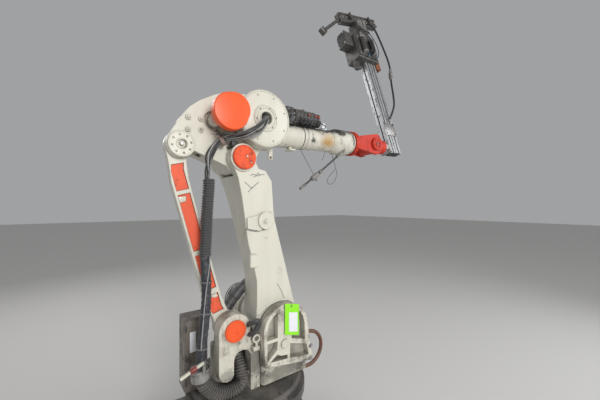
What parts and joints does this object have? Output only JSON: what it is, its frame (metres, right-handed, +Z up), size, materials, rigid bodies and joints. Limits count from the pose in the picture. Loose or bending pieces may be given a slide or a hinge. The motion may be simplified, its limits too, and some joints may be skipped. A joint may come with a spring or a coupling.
{
  "type": "industrial robot arm",
  "caption": "Floor-mounted industrial robot arm with a parallel rear link, a drum elbow, a rolling forearm, a wrist and a long gripper beam.",
  "frame": {"origin": "swivel axis at the underside of the base plate", "axes": "+Z up along the swivel axis, +X along the forearm at rest, -Y the side with the round covers"},
  "size_m": [2.6308, 1.0606, 3.9165],
  "materials": {
    "cream_paint": "worn semi-gloss cream paint",
    "orange_paint": "semi-gloss orange paint",
    "wrist_paint": "greasy red-orange paint",
    "dark_iron": "dusty dark casting",
    "bare_steel": "dull machined steel",
    "aluminium": "anodised extrusion, grimy",
    "hose_rubber": "dusty black corrugated hose",
    "sleeve_cloth": "wrapped dark cloth sleeve",
    "grey_housing": "grimy grey paint",
    "brown_paint": "dull brown-orange paint"
  },
  "bodies": {
    "base": {"base_plate": "dark_iron", "base_pedestal": "dark_iron", "base_connector_box": "grey_housing"},
    "swivel": {"swivel_table": "cream_paint", "swivel_frame": "cream_paint", "link_bracket": "cream_paint", "link_pivot_cap": "orange_paint", "bearing_bracket": "cream_paint", "bearing_cap": "cream_paint", "far_bearing_bracket": "cream_paint", "shoulder_motor": "dark_iron", "lifting_eye": "bare_steel", "side_box": "grey_housing", "hose_clamp": "bare_steel", "hose_bend": "hose_rubber"},
    "lower_arm": {"lower_arm": "cream_paint", "arm_collar": "cream_paint", "stop_block": "cream_paint", "elbow_near_cap": "orange_paint", "elbow_far_cap": "cream_paint"},
    "rear_link": {"rear_link": "cream_paint", "link_panel_1": "orange_paint", "link_panel_2": "orange_paint", "link_panel_3": "orange_paint", "link_panel_4": "orange_paint", "dress_sleeve": "sleeve_cloth", "dress_conduit": "hose_rubber"},
    "elbow_casting": {"elbow_casting": "cream_paint", "rear_pivot_cap": "cream_paint", "elbow_motor_cover": "orange_paint", "elbow_motor": "cream_paint", "elbow_drum": "cream_paint", "drum_hub_ring": "cream_paint", "cable_bundle": "hose_rubber"},
    "upper_arm": {"elbow_housing": "cream_paint", "valve_block": "dark_iron", "wrist_motor_1": "dark_iron", "wrist_motor_2": "dark_iron", "wrist_motor_3": "dark_iron"},
    "forearm": {"forearm_tube": "cream_paint", "forearm_collar": "cream_paint", "wrist_fork": "wrist_paint", "wrist_hub": "wrist_paint"},
    "wrist": {"wrist_body": "wrist_paint"},
    "tool": {"tool_flange": "bare_steel", "tool_adapter": "bare_steel", "beam_profile_near": "aluminium", "beam_profile_far": "aluminium", "beam_block": "brown_paint", "gripper_block": "grey_housing", "gripper_neck": "grey_housing", "gripper_crossbar": "grey_housing", "gripper_jaw_near": "grey_housing", "gripper_jaw_far": "grey_housing", "gripper_side_rod": "grey_housing"}
  },
  "joints": [
    {"name": "base_swivel", "type": "hinge", "parent": "base", "child": "swivel", "pos_m": [0, 0, 0.36], "axis": [0, 0, 1], "range_deg": [-150, 150]},
    {"name": "shoulder_swing", "type": "hinge", "parent": "swivel", "child": "lower_arm", "pos_m": [0.169, 0, 0.75], "axis": [0, 1, 0], "range_deg": [-20, 50]},
    {"name": "link_swing", "type": "hinge", "parent": "swivel", "child": "rear_link", "pos_m": [-0.175, 0, 0.802], "axis": [0, 1, 0], "range_deg": [-20, 50], "deforming": ["dress_sleeve"]},
    {"name": "head_pivot", "type": "hinge", "parent": "lower_arm", "child": "elbow_casting", "pos_m": [-0.12221, 0, 1.85218], "axis": [0, 1, 0], "range_deg": [-50, 20], "deforming": ["cable_bundle"]},
    {"name": "elbow_pitch", "type": "hinge", "parent": "elbow_casting", "child": "upper_arm", "pos_m": [0.01879, 0, 2.11018], "axis": [0, 1, 0], "range_deg": [-40, 45]},
    {"name": "forearm_roll", "type": "hinge", "parent": "upper_arm", "child": "forearm", "pos_m": [0.01979, 0.06, 2.0882], "axis": [0.999, 0, 0.0454], "range_deg": [-120, 120]},
    {"name": "wrist_bend", "type": "hinge", "parent": "forearm", "child": "wrist", "pos_m": [1.32844, 0.06, 2.14763], "axis": [0, 1, 0], "range_deg": [-60, 100]},
    {"name": "tool_roll", "type": "hinge", "parent": "wrist", "child": "tool", "pos_m": [1.32844, 0.06, 2.14763], "axis": [0.999, 0, 0.0454], "range_deg": [-90, 90]}
  ],
  "couplings": [
    {"joint": "link_swing", "follows": "shoulder_swing", "ratio": 1},
    {"joint": "head_pivot", "follows": "shoulder_swing", "ratio": -1}
  ]
}
